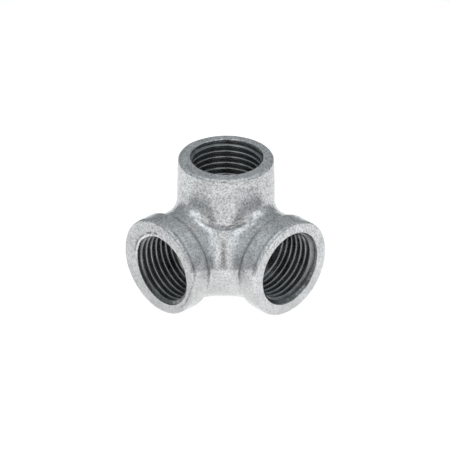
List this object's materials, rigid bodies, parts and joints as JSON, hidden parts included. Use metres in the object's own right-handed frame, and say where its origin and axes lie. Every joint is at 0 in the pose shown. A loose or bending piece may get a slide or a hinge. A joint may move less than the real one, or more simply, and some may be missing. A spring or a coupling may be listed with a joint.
{
  "type": "side outlet elbow",
  "caption": "Three-way threaded pipe corner: female sockets at right angles to each other join three pipes at one galvanised iron body.",
  "frame": {"origin": "crossing of the three socket axes, the point that a fitter measures centre-to-face lengths from", "axes": "+Z out of the upright socket, +X out of the right-hand run socket, -Y out of the left-hand run socket"},
  "size_m": [0.0393, 0.0393, 0.0391],
  "materials": {
    "cut_iron": "freshly tapped, dark, oiled",
    "zinc": "hot-dip galvanised, grainy, satin"
  },
  "bodies": {
    "root": {"iron_casting": "cut_iron", "zinc_outer_coat": "zinc", "zinc_waterway_coat": "zinc"}
  },
  "joints": []
}
